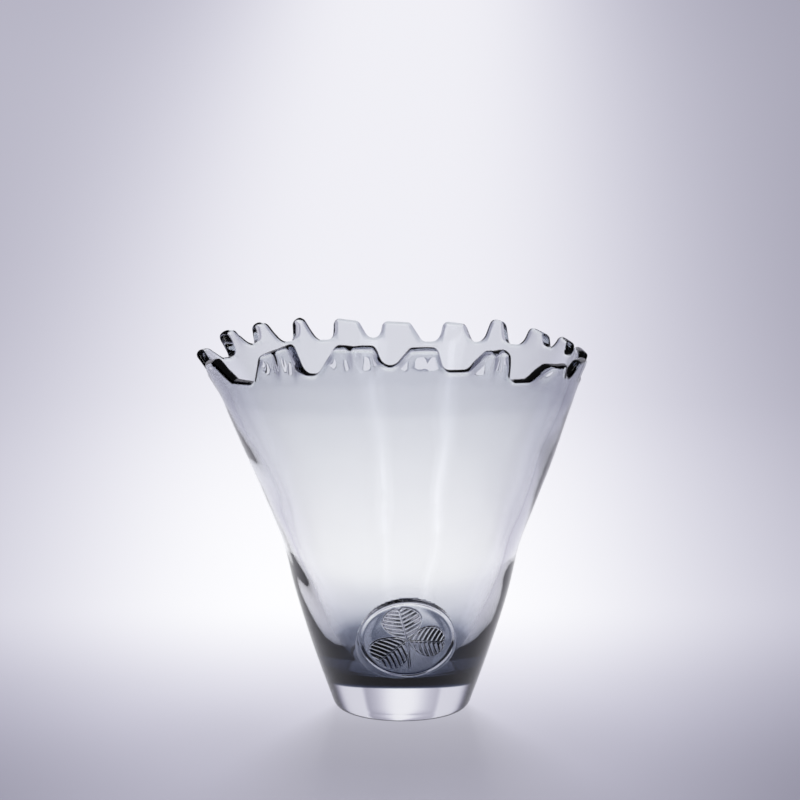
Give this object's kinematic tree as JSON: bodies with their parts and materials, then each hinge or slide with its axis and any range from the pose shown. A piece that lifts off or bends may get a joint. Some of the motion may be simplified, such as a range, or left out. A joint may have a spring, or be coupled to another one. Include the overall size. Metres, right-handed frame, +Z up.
{
  "type": "glass vase",
  "caption": "Flared hand-blown glass vase: smoke bowl with a cut, leaning rim of tabs, thick clear base and casing, and a pressed leaf seal on the front. Holds flowers and water.",
  "frame": {"origin": "centre of the foot's flat underside, on the table", "axes": "+Z up along the axis of the foot; the seal faces -Y; +X to the viewer's right"},
  "size_m": [0.1887, 0.1885, 0.1849],
  "materials": {
    "clear_glass": "clear, fire polished",
    "smoke_glass": "smoke grey, transparent, fire polished",
    "seal_glass": "clear, pressed relief"
  },
  "bodies": {
    "root": {"clear_casing": "clear_glass", "smoke_bowl": "smoke_glass", "leaf_seal": "seal_glass"}
  },
  "joints": []
}
